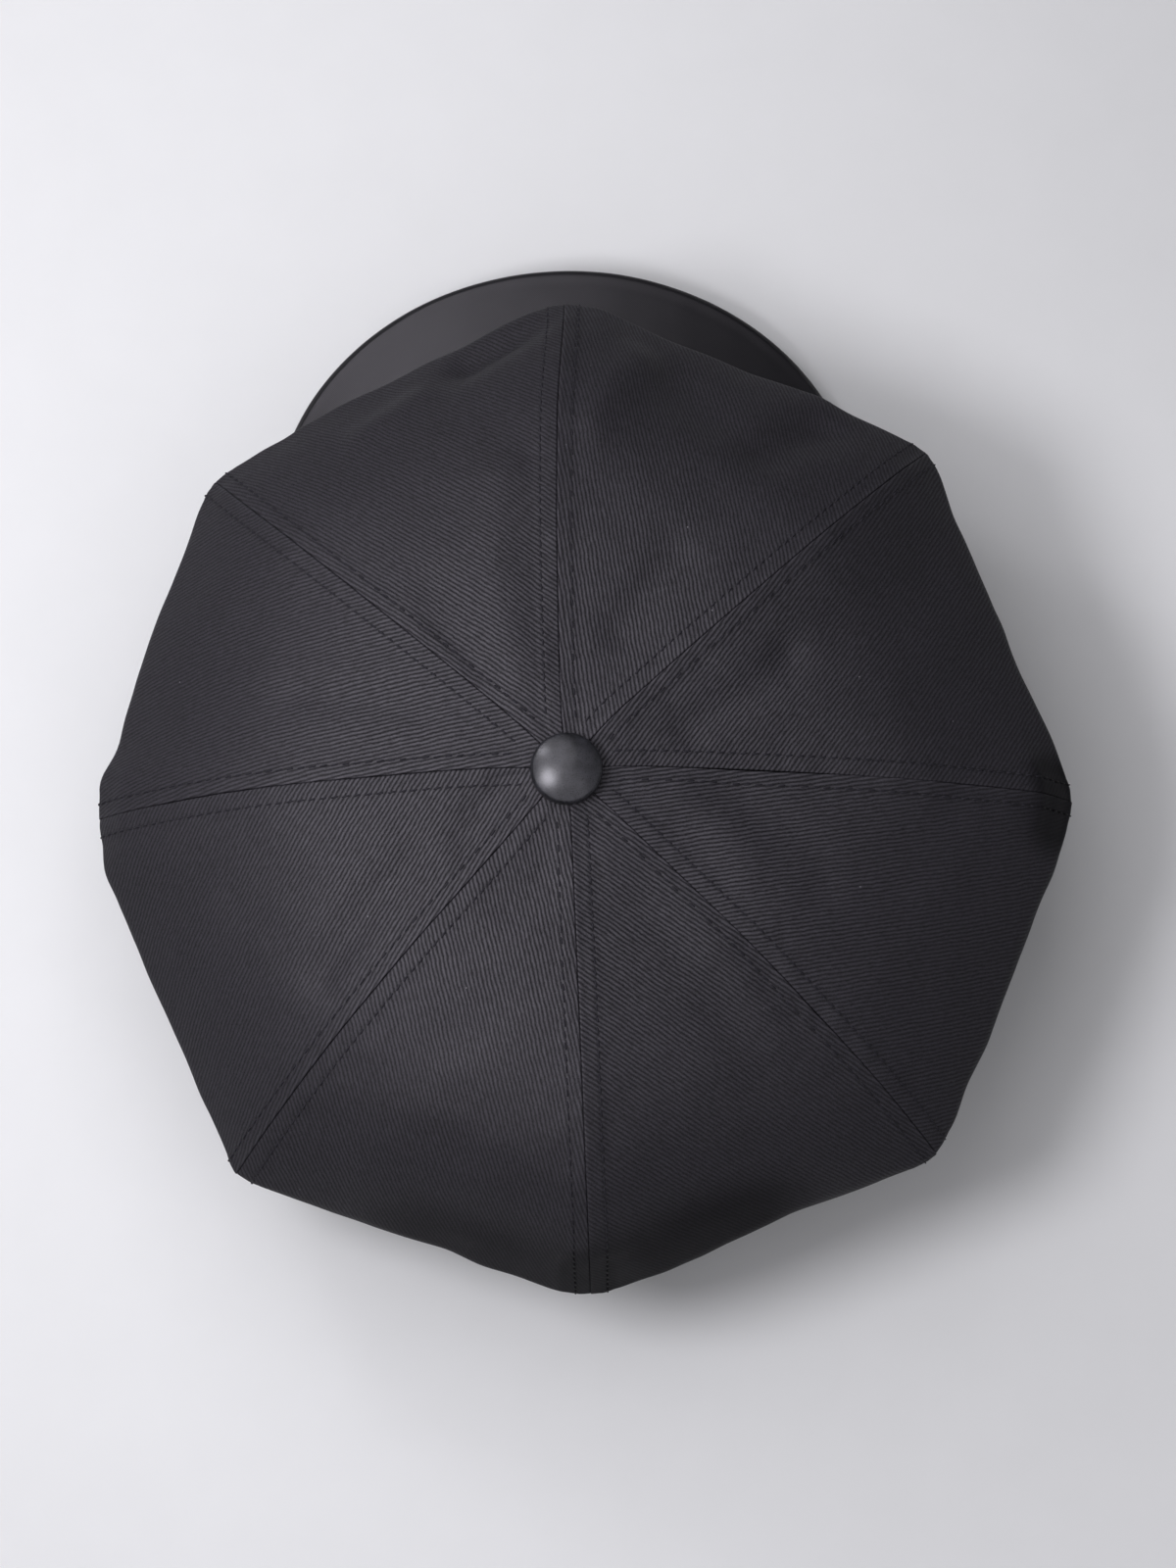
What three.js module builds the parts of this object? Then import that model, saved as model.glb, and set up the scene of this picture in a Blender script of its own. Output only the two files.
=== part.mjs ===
// A long-billed cap of heavy black twill: eight crown panels, a band, a bill and a covered button.
// Millimetres, +Z up. The cap stands on its band with the bill towards -Y.
// While it is built, the button's axis is x = 0, y = 0, and the band's lower rim is z = 0.
// Bearings are in degrees from the front (-Y), positive towards +X.

import * as THREE from "three";

const CLOTH = 1.6;
const GAP = 0.3;

const HEAD = { halfWidth: 86, halfLength: 101, y: 6 };
const BAND = { wall: 2.5, height: 32, frontRise: 14, stepOverBillEnd: 1, rearSteps: 48 };

const BILL = {
  thickness: 3,
  edgeInset: 1.1,
  rootEnd: 64,
  halfWidth: 90.8,
  tipLength: 74.5,
  widestY: -97.2,
  centreHeight: 24,
  tipDrop: 4,
  sideHeight: 3.4,
  tipShare: 0.7,
  stepsAlong: 28,
  stepsOut: 6,
};

const CROWN = {
  apexHeight: 108,
  centreHole: 2.5,
  cornerRadius: 2.4,
  bluntLength: 12,
  sag: 0.85,
  rimSteps: 5,
  topSteps: 12,
  undersideSteps: 5,
  stepsAcross: 10,
};

const BUTTON = {
  radius: 10.2,
  top: 5.8,
  curve: 23,
  shoulder: 1.75,
  edge: 0.6,
  baseSlope: 0.03,
  stepsRound: 28,
  stepsShoulder: 3,
  stepsDome: 3,
};

// One row for each seam's corner on the crown's edge. slope is the share of the fall from the
// button that is a straight line, turn is how late the rest of it comes (a power), and blunt is
// how far the edge stands out beside the corner, which rounds it off.
const SEAMS = [
  { name: "front", bearing: 0.1, reach: 148.6, height: 63, slope: 0.13, turn: 4.3, blunt: 1.3 },
  { name: "front_left", bearing: 47.2, reach: 141.2, height: 61, slope: 0.12, turn: 3.5, blunt: 1.0 },
  { name: "left", bearing: 92.5, reach: 136.2, height: 58.5, slope: 0.25, turn: 3.9, blunt: 2.4 },
  { name: "rear_left", bearing: 139.2, reach: 144.5, height: 58, slope: 0.14, turn: 3.9, blunt: 1.1 },
  { name: "rear", bearing: 182.4, reach: 144.2, height: 54, slope: 0.1, turn: 8, blunt: 1.6 },
  { name: "rear_right", bearing: 225, reach: 150, height: 59.5, slope: 0.4, turn: 4, blunt: 1.2 },
  { name: "right", bearing: 269.7, reach: 148.4, height: 62, slope: 0.55, turn: 4.2, blunt: 1.2 },
  { name: "front_right", bearing: 313.7, reach: 147, height: 63, slope: 0.13, turn: 3.7, blunt: 1.0 },
];

// One row for each panel, from the seam with the same row number to the next one. bow is how far
// its edge bulges past the straight line, puff how far its middle stands up, and roll the radius
// of its edge where the cloth turns under.
const PANELS = [
  { bow: 3.5, puff: 1.0, roll: 4 },
  { bow: 2.6, puff: 0.5, roll: 5 },
  { bow: 3.4, puff: 0.5, roll: 5 },
  { bow: 2.8, puff: 1.0, roll: 9 },
  { bow: 0.6, puff: 0.2, roll: 12 },
  { bow: 0.9, puff: 1.2, roll: 6 },
  { bow: 0.4, puff: 0.9, roll: 6 },
  { bow: 2.9, puff: 0.0, roll: 4 },
];

// Ridges (+) and valleys (-) pressed into the panels, each a straight line from one place to
// another. out is the share of the way from the button to the edge, across the share of the
// panel's width, depth its height and width its half-width.
const FOLDS = [
  { panel: 1, fromOut: 0.22, fromAcross: 0.51, toOut: 0.62, toAcross: 0.26, depth: 2.2, width: 8 },
  { panel: 1, fromOut: 0.27, fromAcross: 0.88, toOut: 0.46, toAcross: 0.74, depth: -1.2, width: 6 },
  { panel: 1, fromOut: 0.92, fromAcross: 0.24, toOut: 0.95, toAcross: 0.1, depth: -3.5, width: 8 },
  { panel: 1, fromOut: 0.88, fromAcross: 0.64, toOut: 0.92, toAcross: 0.44, depth: 1.2, width: 5 },
  { panel: 2, fromOut: 0.62, fromAcross: 0.57, toOut: 0.35, toAcross: 0.47, depth: -1.2, width: 6 },
  { panel: 3, fromOut: 0.11, fromAcross: 0.3, toOut: 0.24, toAcross: 0.67, depth: -1.8, width: 6 },
  { panel: 3, fromOut: 0.36, fromAcross: 0.61, toOut: 0.64, toAcross: 0.78, depth: -1.8, width: 6 },
  { panel: 4, fromOut: 0.61, fromAcross: 0.38, toOut: 0.49, toAcross: 0.57, depth: -1.4, width: 6 },
  { panel: 4, fromOut: 0.3, fromAcross: 0.45, toOut: 0.23, toAcross: 0.64, depth: -1.2, width: 5 },
  { panel: 5, fromOut: 0.31, fromAcross: 0.65, toOut: 0.6, toAcross: 0.68, depth: -1.1, width: 9 },
  { panel: 5, fromOut: 0.35, fromAcross: 0.88, toOut: 0.66, toAcross: 0.8, depth: 0.8, width: 8 },
  { panel: 6, fromOut: 0.22, fromAcross: 0.75, toOut: 0.39, toAcross: 0.36, depth: 0.9, width: 7 },
  { panel: 6, fromOut: 0.33, fromAcross: 0.8, toOut: 0.56, toAcross: 0.47, depth: -0.9, width: 8 },
  { panel: 7, fromOut: 0.25, fromAcross: 0.46, toOut: 0.5, toAcross: 0.74, depth: -1.7, width: 8 },
  { panel: 7, fromOut: 0.5, fromAcross: 0.74, toOut: 0.8, toAcross: 0.84, depth: -1.3, width: 9 },
  { panel: 8, fromOut: 0.3, fromAcross: 0.5, toOut: 0.5, toAcross: 0.4, depth: -1.6, width: 6 },
  { panel: 8, fromOut: 0.72, fromAcross: 0.9, toOut: 0.9, toAcross: 0.78, depth: 2.0, width: 7 },
  { panel: 8, fromOut: 0.82, fromAcross: 0.32, toOut: 0.95, toAcross: 0.24, depth: -2.4, width: 8 },
];

const radians = (degrees) => (degrees * Math.PI) / 180;
const mix = THREE.MathUtils.lerp;

// A closed wall between an outer and an inner grid of points. Columns go round with the bearing,
// rows go from the top outwards and down. A closed ring joins its last column to its first.
function wallBetween(outer, inner, ring = false) {
  const columns = outer.length;
  const rows = outer[0].length;
  const positions = [];
  for (const grid of [outer, inner]) {
    for (const column of grid) {
      for (const point of column) {
        positions.push(point.x, point.y, point.z);
      }
    }
  }
  const outerAt = (i, j) => (i % columns) * rows + j;
  const innerAt = (i, j) => columns * rows + outerAt(i, j);
  const faces = [];
  const quad = (a, b, c, d) => faces.push(a, b, c, a, c, d);
  const spans = ring ? columns : columns - 1;
  for (let i = 0; i < spans; i++) {
    for (let j = 0; j < rows - 1; j++) {
      quad(outerAt(i, j), outerAt(i, j + 1), outerAt(i + 1, j + 1), outerAt(i + 1, j));
      quad(innerAt(i + 1, j), innerAt(i + 1, j + 1), innerAt(i, j + 1), innerAt(i, j));
    }
    const last = rows - 1;
    quad(outerAt(i, 0), outerAt(i + 1, 0), innerAt(i + 1, 0), innerAt(i, 0));
    quad(outerAt(i + 1, last), outerAt(i, last), innerAt(i, last), innerAt(i + 1, last));
  }
  if (!ring) {
    const end = columns - 1;
    for (let j = 0; j < rows - 1; j++) {
      quad(outerAt(0, j), innerAt(0, j), innerAt(0, j + 1), outerAt(0, j + 1));
      quad(outerAt(end, j + 1), innerAt(end, j + 1), innerAt(end, j), outerAt(end, j));
    }
  }
  const geometry = new THREE.BufferGeometry();
  geometry.setAttribute("position", new THREE.Float32BufferAttribute(positions, 3));
  geometry.setIndex(faces);
  geometry.computeVertexNormals();
  return geometry;
}

// The head's opening is an ellipse. offset is the distance outwards from its inside.
function headPoint(angle, offset) {
  const turn = radians(angle);
  const x = (HEAD.halfWidth + offset) * Math.sin(turn);
  const y = HEAD.y - (HEAD.halfLength + offset) * Math.cos(turn);
  return new THREE.Vector2(x, y);
}

// How far from the button's axis the band's outside lies along a bearing.
function bandReach(turn) {
  const across = HEAD.halfWidth + BAND.wall;
  const along = HEAD.halfLength + BAND.wall;
  const sine = Math.sin(turn);
  const cosine = Math.cos(turn);
  const a = (sine / across) ** 2 + (cosine / along) ** 2;
  const b = (2 * cosine * HEAD.y) / along ** 2;
  const c = (HEAD.y / along) ** 2 - 1;
  return (-b + Math.sqrt(b * b - 4 * a * c)) / (2 * a);
}

// The band's upper rim climbs towards the front, because the arched bill lifts it there.
function bandTop(y) {
  const forward = THREE.MathUtils.clamp((HEAD.y - y) / HEAD.halfLength, 0, 1);
  return BAND.height + BAND.frontRise * forward ** 2;
}

// The bill's outline from one root end (-1) over the tip (0) to the other root end (1).
function billOutline(share) {
  const side = Math.sign(share) || 1;
  const way = Math.abs(share);
  const end = headPoint(BILL.rootEnd, BAND.wall);
  if (way <= BILL.tipShare) {
    const turn = radians((90 * way) / BILL.tipShare);
    const x = BILL.halfWidth * Math.sin(turn);
    return new THREE.Vector2(side * x, BILL.widestY - BILL.tipLength * Math.cos(turn));
  }
  const back = (way - BILL.tipShare) / (1 - BILL.tipShare);
  const x = BILL.halfWidth - (BILL.halfWidth - end.x) * back ** 2;
  return new THREE.Vector2(side * x, mix(BILL.widestY, end.y, back));
}

// The bill's upper surface: arched across, with both side edges near the floor.
function billTop(x, y) {
  const end = headPoint(BILL.rootEnd, BAND.wall);
  const back = THREE.MathUtils.clamp((y - BILL.widestY) / (end.y - BILL.widestY), 0, 1);
  const halfWidth = BILL.halfWidth - (BILL.halfWidth - end.x) * back ** 2;
  const forward = THREE.MathUtils.clamp((BILL.widestY - y) / BILL.tipLength, 0, 1);
  const centre = BILL.centreHeight - BILL.tipDrop * forward ** 2;
  return mix(centre, BILL.sideHeight, (x / halfWidth) ** 2);
}

// Each column of the bill runs from under the band to the outer edge, which is rounded.
function makeBill() {
  const outer = [];
  const inner = [];
  for (let i = 0; i <= BILL.stepsAlong; i++) {
    const share = mix(-1, 1, i / BILL.stepsAlong);
    const root = headPoint(BILL.rootEnd * share, 0);
    const edge = billOutline(share);
    const width = edge.distanceTo(root);
    const upper = [];
    const lower = [];
    for (let j = 0; j <= BILL.stepsOut; j++) {
      const out = (j / BILL.stepsOut) * (1 - BILL.edgeInset / width);
      const place = root.clone().lerp(edge, out);
      const top = billTop(place.x, place.y);
      upper.push(new THREE.Vector3(place.x, place.y, top));
      lower.push(new THREE.Vector3(place.x, place.y, top - BILL.thickness));
    }
    const middle = billTop(edge.x, edge.y) - BILL.thickness / 2;
    upper.push(new THREE.Vector3(edge.x, edge.y, middle + BILL.thickness / 4));
    lower.push(new THREE.Vector3(edge.x, edge.y, middle - BILL.thickness / 4));
    outer.push(upper);
    inner.push(lower);
  }
  return wallBetween(outer, inner);
}

// The band's lower rim lies flat at the sides and back, and follows the bill in front.
function makeBand() {
  const outer = [];
  const inner = [];
  const addColumn = (angle, overBill) => {
    for (const [grid, offset] of [[outer, BAND.wall], [inner, 0]]) {
      const place = headPoint(angle, offset);
      const bottom = overBill ? billTop(place.x, place.y) + GAP : 0;
      const top = bandTop(place.y);
      grid.push([
        new THREE.Vector3(place.x, place.y, top),
        new THREE.Vector3(place.x, place.y, bottom),
      ]);
    }
  };
  const frontEnd = BILL.rootEnd + BAND.stepOverBillEnd;
  for (let i = 0; i <= BILL.stepsAlong; i++) {
    addColumn(frontEnd * mix(-1, 1, i / BILL.stepsAlong), true);
  }
  const rearStart = frontEnd + 2 * BAND.stepOverBillEnd;
  for (let i = 0; i <= BAND.rearSteps; i++) {
    addColumn(mix(rearStart, 360 - rearStart, i / BAND.rearSteps), false);
  }
  return wallBetween(outer, inner, true);
}

// The height left at a share of the way out along a seam, from 1 at the button to 0 at its corner.
const seamFall = (seam, out) => 1 - seam.slope * out - (1 - seam.slope) * out ** seam.turn;

// How far the folds lift a place on a panel's top, fading out towards the two seams.
function foldLift(index, out, across, reach, width) {
  let lift = 0;
  for (const fold of FOLDS.filter((row) => row.panel === index + 1)) {
    const along = new THREE.Vector2(
      (fold.toOut - fold.fromOut) * reach,
      (fold.toAcross - fold.fromAcross) * width * out,
    );
    const place = new THREE.Vector2(
      (out - fold.fromOut) * reach,
      (across - fold.fromAcross) * width * out,
    );
    const share = THREE.MathUtils.clamp(place.dot(along) / along.lengthSq(), 0, 1);
    const distance = place.distanceTo(along.multiplyScalar(share));
    lift += fold.depth * Math.exp(-((distance / fold.width) ** 2));
  }
  return lift * Math.min(8 * across * (1 - across), 1);
}

const cornerPlace = (seam) => new THREE.Vector2(
  seam.reach * Math.sin(radians(seam.bearing)),
  -seam.reach * Math.cos(radians(seam.bearing)),
);

// Beside a corner the edge swings out and back again within a few times the blunt length.
function besideCorner(distance) {
  const share = distance / CROWN.bluntLength;
  return share * Math.exp(1 - share);
}

// The place on a panel's outer edge at a share of its width, seen from above.
function edgePlace(panel, from, to, across) {
  const start = cornerPlace(from);
  const end = cornerPlace(to);
  const width = start.distanceTo(end);
  const bulge = panel.bow * 4 * across * (1 - across)
    + from.blunt * besideCorner(width * across)
    + to.blunt * besideCorner(width * (1 - across));
  const outward = new THREE.Vector2(end.y - start.y, start.x - end.x).divideScalar(width);
  const place = start.lerp(end, across).addScaledVector(outward, bulge);
  return { place, width };
}

// One radial section through a panel, from the button over the edge and in to the band:
// its bearing and the outer and inner line as (distance from the axis, height).
function panelSection(index, across) {
  const panel = PANELS[index];
  const from = SEAMS[index];
  const to = SEAMS[(index + 1) % SEAMS.length];
  const { place, width } = edgePlace(panel, from, to, across);
  const reach = place.length();
  const turn = Math.atan2(place.x, -place.y);
  const swell = 4 * across * (1 - across);

  // The edge is a round fold, tight at the corners and wider between them.
  const rimHeight = mix(from.height, to.height, across);
  const roll = mix(CROWN.cornerRadius, panel.roll, swell);
  const onRim = (angle) => new THREE.Vector2(
    reach - roll + roll * Math.cos(angle),
    rimHeight + roll * Math.sin(angle),
  );
  const fallAt = (out) => mix(seamFall(from, out), seamFall(to, out), across);
  const lastStep = 0.01;
  const drop = (CROWN.apexHeight - rimHeight) * fallAt(1 - lastStep);
  const rimTop = Math.PI / 2 - Math.atan2(drop, lastStep * reach);
  const topEnd = onRim(rimTop);

  // Under the edge the cloth goes in to the top of the band, where it is sewn on.
  const bandGap = (radius) => bandTop(-radius * Math.cos(turn)) + GAP;
  const sewnAt = bandReach(turn) - (BAND.wall - CLOTH) / 2;
  const sewn = new THREE.Vector2(sewnAt, bandGap(sewnAt));
  const rimBottom = -CROWN.sag * Math.atan2(reach - roll - sewn.x, rimHeight - sewn.y);
  const underStart = onRim(rimBottom);
  const lengthUnder = underStart.distanceTo(sewn);
  const inward = new THREE.Vector2(Math.sin(rimBottom), -Math.cos(rimBottom));
  const underside = new THREE.CubicBezierCurve(
    underStart,
    underStart.clone().addScaledVector(inward, 0.35 * lengthUnder),
    sewn.clone().add(new THREE.Vector2(0.22, 0.2).multiplyScalar(lengthUnder)),
    sewn,
  );

  const line = [];
  const lifts = [];
  for (let j = 0; j < CROWN.topSteps; j++) {
    const out = mix(CROWN.centreHole / reach, 1, j / CROWN.topSteps);
    const rise = panel.puff * swell * Math.sin(Math.PI * out) ** 2;
    const height = mix(topEnd.y, CROWN.apexHeight, fallAt(out)) + rise;
    line.push(new THREE.Vector2(out * topEnd.x, height));
    lifts.push(foldLift(index, out, across, reach, width));
  }
  for (let j = 0; j <= CROWN.rimSteps; j++) {
    line.push(onRim(mix(rimTop, rimBottom, j / CROWN.rimSteps)));
    lifts.push(0);
  }
  for (let j = 1; j <= CROWN.undersideSteps; j++) {
    line.push(underside.getPoint(j / CROWN.undersideSteps));
    lifts.push(0);
  }

  const last = line.length - 1;
  const outer = [];
  const inner = [];
  line.forEach((point, j) => {
    const before = line[Math.max(j - 1, 0)];
    const after = line[Math.min(j + 1, last)];
    const along = after.clone().sub(before).normalize();
    const outward = new THREE.Vector2(-along.y, along.x);
    outer.push(point.clone().addScaledVector(outward, lifts[j]));
    inner.push(point.clone().addScaledVector(outward, lifts[j] - CLOTH));
  });
  inner[last].set(sewn.x - CLOTH, bandGap(sewn.x - CLOTH));
  return { turn, outer, inner };
}

// A panel's two sides stop half a gap short of the seam's upright plane.
function makePanel(index) {
  const outer = [];
  const inner = [];
  for (let i = 0; i <= CROWN.stepsAcross; i++) {
    const section = panelSection(index, i / CROWN.stepsAcross);
    const sine = Math.sin(section.turn);
    const cosine = Math.cos(section.turn);
    let aside = 0;
    if (i === 0) aside = GAP / 2;
    if (i === CROWN.stepsAcross) aside = -GAP / 2;
    const place = (point) => new THREE.Vector3(
      point.x * sine + aside * cosine,
      -point.x * cosine + aside * sine,
      point.y,
    );
    outer.push(section.outer.map(place));
    inner.push(section.inner.map(place));
  }
  return wallBetween(outer, inner);
}

// A flat dome with a round shoulder. Its base follows the slope of the crown under it.
function makeButton() {
  const { radius, curve, shoulder, edge } = BUTTON;
  const base = (away) => CROWN.apexHeight + GAP - BUTTON.baseSlope * away;
  const top = CROWN.apexHeight + BUTTON.top;
  const profile = [
    new THREE.Vector2(0, base(0)),
    new THREE.Vector2(radius - edge, base(radius - edge)),
    new THREE.Vector2(radius, base(radius) + edge),
  ];
  const tilt = Math.asin((radius - shoulder) / (curve - shoulder));
  const shoulderHeight = top - curve + (curve - shoulder) * Math.cos(tilt);
  for (let j = 0; j <= BUTTON.stepsShoulder; j++) {
    const turn = mix(0, Math.PI / 2 - tilt, j / BUTTON.stepsShoulder);
    profile.push(new THREE.Vector2(
      radius - shoulder + shoulder * Math.cos(turn),
      shoulderHeight + shoulder * Math.sin(turn),
    ));
  }
  for (let j = 1; j < BUTTON.stepsDome; j++) {
    const turn = mix(tilt, 0, j / BUTTON.stepsDome);
    profile.push(new THREE.Vector2(curve * Math.sin(turn), top - curve * (1 - Math.cos(turn))));
  }
  profile.push(new THREE.Vector2(0, top));
  const geometry = new THREE.LatheGeometry(profile, BUTTON.stepsRound);
  geometry.rotateX(Math.PI / 2);
  return geometry;
}

const twill = () => new THREE.MeshStandardMaterial({ color: 0x1b1a1d, roughness: 0.9, metalness: 0 });
const covered = () => new THREE.MeshStandardMaterial({ color: 0x303033, roughness: 0.45, metalness: 0 });

const cap = new THREE.Group();

function add(name, geometry, material) {
  const mesh = new THREE.Mesh(geometry, material);
  mesh.name = name;
  cap.add(mesh);
}

PANELS.forEach((_, index) => add(`crown_panel_${index + 1}`, makePanel(index), twill()));
add("band", makeBand(), twill());
add("bill", makeBill(), twill());
add("button", makeButton(), covered());

// The origin is the bottom centre of the whole cap's box.
const box = new THREE.Box3().setFromObject(cap);
const centre = box.getCenter(new THREE.Vector3());
cap.position.set(-centre.x, -centre.y, 0);

export default cap;
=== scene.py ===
# A long-billed cap of heavy black twill: eight crown panels, a band, a bill and a covered button.
# Lengths in the tables are millimetres. x = 0, y = 0 is the button's axis there, +Z is up, and the
# cap stands on z = 0 with its bill towards -Y. Bearings are degrees from the front, positive
# towards +X. Meshes are made in metres, in the part's own frame.

import math

import bpy
import numpy as np
from mathutils import Matrix, Vector


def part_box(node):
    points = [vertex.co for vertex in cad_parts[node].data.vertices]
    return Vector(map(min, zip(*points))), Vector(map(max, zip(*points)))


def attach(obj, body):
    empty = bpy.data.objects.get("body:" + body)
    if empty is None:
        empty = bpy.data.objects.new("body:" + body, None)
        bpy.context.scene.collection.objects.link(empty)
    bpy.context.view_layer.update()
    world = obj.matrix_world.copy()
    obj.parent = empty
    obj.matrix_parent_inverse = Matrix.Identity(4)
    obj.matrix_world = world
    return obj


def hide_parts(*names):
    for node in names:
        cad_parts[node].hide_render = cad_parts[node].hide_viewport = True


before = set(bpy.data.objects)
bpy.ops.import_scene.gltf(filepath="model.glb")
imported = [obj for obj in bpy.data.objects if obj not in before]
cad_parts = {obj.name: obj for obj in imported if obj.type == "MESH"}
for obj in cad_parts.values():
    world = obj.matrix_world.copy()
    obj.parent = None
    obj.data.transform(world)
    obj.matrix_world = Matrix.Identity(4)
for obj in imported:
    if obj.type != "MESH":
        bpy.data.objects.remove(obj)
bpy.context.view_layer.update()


# ---- Crown panels ----
# Eight gores of heavy black cotton twill, 1.6 mm thick, sewn together by twos from the button to
# the crown's edge. Each turns under at the edge in a soft roll and goes back in to the band. The
# seam allowances lie open under the cloth and lift it a little beside each seam.

# The crown's cloth and height, the hole under the button, how the corners are rounded, how far the
# underside sags back under the edge, the band's strip and the oval of the head inside it.
CLOTH = 1.6
APEX_HEIGHT = 108
CENTRE_HOLE = 2.5
CORNER_ROLL = 2.4
BLUNT_LENGTH = 12
UNDERSIDE_SAG = 0.85
BAND_WALL = 2.5
BAND_HEIGHT = 32
BAND_FRONT_RISE = 14
HEAD_HALF_WIDTH = 86
HEAD_HALF_LENGTH = 101
HEAD_Y = 6

# For each seam: its bearing, how far out and how high its corner lies, the share of the fall from
# the button that is a straight line, how late the rest of it comes (a power), and how far the edge
# stands out beside the corner, which rounds it off.
SEAM_NAMES = (
    "front", "front_left", "left", "rear_left", "rear", "rear_right", "right", "front_right"
)
SEAM_BEARING = (0.1, 47.2, 92.5, 139.2, 182.4, 225.0, 269.7, 313.7)
SEAM_REACH = (148.6, 141.2, 136.2, 144.5, 144.2, 150.0, 148.4, 147.0)
SEAM_HEIGHT = (63, 61, 58.5, 58, 54, 59.5, 62, 63)
SEAM_SLOPE = (0.13, 0.12, 0.25, 0.14, 0.10, 0.40, 0.55, 0.13)
SEAM_TURN = (4.3, 3.5, 3.9, 3.9, 8.0, 4.0, 4.2, 3.7)
SEAM_BLUNT = (1.3, 1.0, 2.4, 1.1, 1.6, 1.2, 1.2, 1.0)

# How far each seam wanders sideways (positive towards +bearing) at these shares of the way out.
SWAY_AT = (0.0, 0.10, 0.25, 0.50, 0.75, 0.90, 1.0)
SEAM_SWAY = (
    (0, 1.5, 2.2, 2.8, 2.6, 1.2, 0.5),
    (0, -0.8, -0.1, 1.5, 2.3, 2.2, 1.2),
    (0, -1.6, -1.8, -1.2, -0.9, -0.2, 0.0),
    (0, 0.0, -0.2, -0.8, -1.0, -0.7, -0.5),
    (0, 0.8, 0.7, 0.7, 0.7, 0.8, 0.8),
    (0, 1.2, 1.8, 2.8, 2.7, 2.3, 1.8),
    (0, 1.7, 1.8, 1.5, 0.9, 0.7, 0.2),
    (0, 2.4, 2.0, 1.2, 0.9, 1.0, 1.0),
)

# For each panel: how far its edge bulges past a straight line, how far its middle stands up, and
# the radius of the roll at its edge.
PANEL_BOW = (3.5, 2.6, 3.4, 2.8, 0.6, 0.9, 0.4, 2.9)
PANEL_PUFF = (1.0, 0.5, 0.5, 1.0, 0.2, 1.2, 0.9, 0.0)
PANEL_ROLL = (4, 5, 5, 9, 12, 6, 6, 4)

# How far each panel's edge stands out from its even line at these shares of its width.
EDGE_AT = (0.00, 0.05, 0.10, 0.15, 0.20, 0.30, 0.40, 0.50, 0.60, 0.70, 0.80, 0.85, 0.90, 0.95, 1.00)
EDGE_SHAPE = (
    (-1.0, -0.5, 0.1, -0.1, -0.5, -1.2, -0.8, -0.7, 0.0, -0.5, -1.2, -0.6, -0.5, 0.0, -0.2),
    (-0.3, 0.4, 0.4, -0.1, -0.3, -0.1, 0.4, 0.2, 0.1, -0.1, -1.4, -0.5, 1.0, -0.1, 0.4),
    (0.5, -0.7, 0.2, 0.8, 0.0, 0.2, 0.6, 0.6, 0.1, -0.4, -0.5, -0.6, -0.6, 0.1, 0.8),
    (0.7, 0.5, 0.2, -0.5, -1.0, -1.2, -1.2, -1.7, -2.0, -0.5, -1.1, -0.9, -0.8, -0.6, -0.7),
    (-0.7, -0.4, 0.0, 0.4, 0.8, 0.7, -0.5, -1.1, -1.5, -0.9, -0.8, -1.1, -0.9, -0.2, -1.0),
    (-1.0, -0.9, -1.0, -1.1, -1.3, 0.1, 0.2, 0.1, 0.4, 0.1, 0.8, 0.6, 0.4, 0.1, -0.7),
    (-0.6, -0.4, -0.3, -0.3, -0.3, -0.5, -0.6, -0.4, -0.5, -0.8, -1.1, -0.7, -0.2, 0.5, -0.4),
    (-0.4, 0.0, -0.1, -0.1, -0.1, 1.5, 0.1, -1.1, -0.4, -0.7, -0.7, -0.2, 0.5, -0.2, -1.0),
)

# Ridges and valleys pressed into the panels: panel, share of the way out and share of the width
# where each begins and ends, height and half-width.
PANEL_FOLDS = (
    (1, 0.22, 0.51, 0.62, 0.26, 1.6, 9),
    (1, 0.27, 0.88, 0.46, 0.74, -1.0, 7),
    (1, 0.965, 0.27, 0.985, 0.08, -5.5, 8),
    (1, 0.88, 0.64, 0.92, 0.44, 1.2, 5),
    (2, 0.62, 0.57, 0.35, 0.47, -1.2, 6),
    (3, 0.11, 0.30, 0.24, 0.67, -1.3, 6),
    (3, 0.36, 0.61, 0.64, 0.78, -1.5, 6),
    (4, 0.61, 0.38, 0.49, 0.57, -0.8, 7),
    (4, 0.30, 0.45, 0.23, 0.64, -0.8, 6),
    (5, 0.31, 0.65, 0.60, 0.68, -0.8, 9),
    (5, 0.35, 0.88, 0.66, 0.80, 0.6, 8),
    (6, 0.22, 0.75, 0.39, 0.36, 0.7, 7),
    (6, 0.33, 0.80, 0.56, 0.47, -0.8, 8),
    (7, 0.26, 0.42, 0.52, 0.62, -1.5, 6),
    (7, 0.52, 0.62, 0.88, 0.70, -1.3, 10),
    (8, 0.30, 0.50, 0.50, 0.40, -1.6, 6),
    (8, 0.72, 0.90, 0.90, 0.78, 2.0, 7),
    (8, 0.82, 0.32, 0.95, 0.24, -3.2, 8),
    (8, 0.84, 0.50, 0.90, 0.64, -1.8, 9),
)

# Where the crown's edge is pushed under at a corner: how far in and how far along it, how deep, and
# the height and half-width of the ridge that this leaves on the inner side.
TUCK_IN = (0, 0, 6, 0, 9, 0, 9, 0)
TUCK_ALONG = (12, 12, 13, 12, 12, 12, 15, 12)
TUCK_DEPTH = (0, 0, 1.2, 0, 5.0, 0, 5.5, 0)
TUCK_RIDGE = 0.25
TUCK_RIDGE_WIDTH = 1.2

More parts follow.
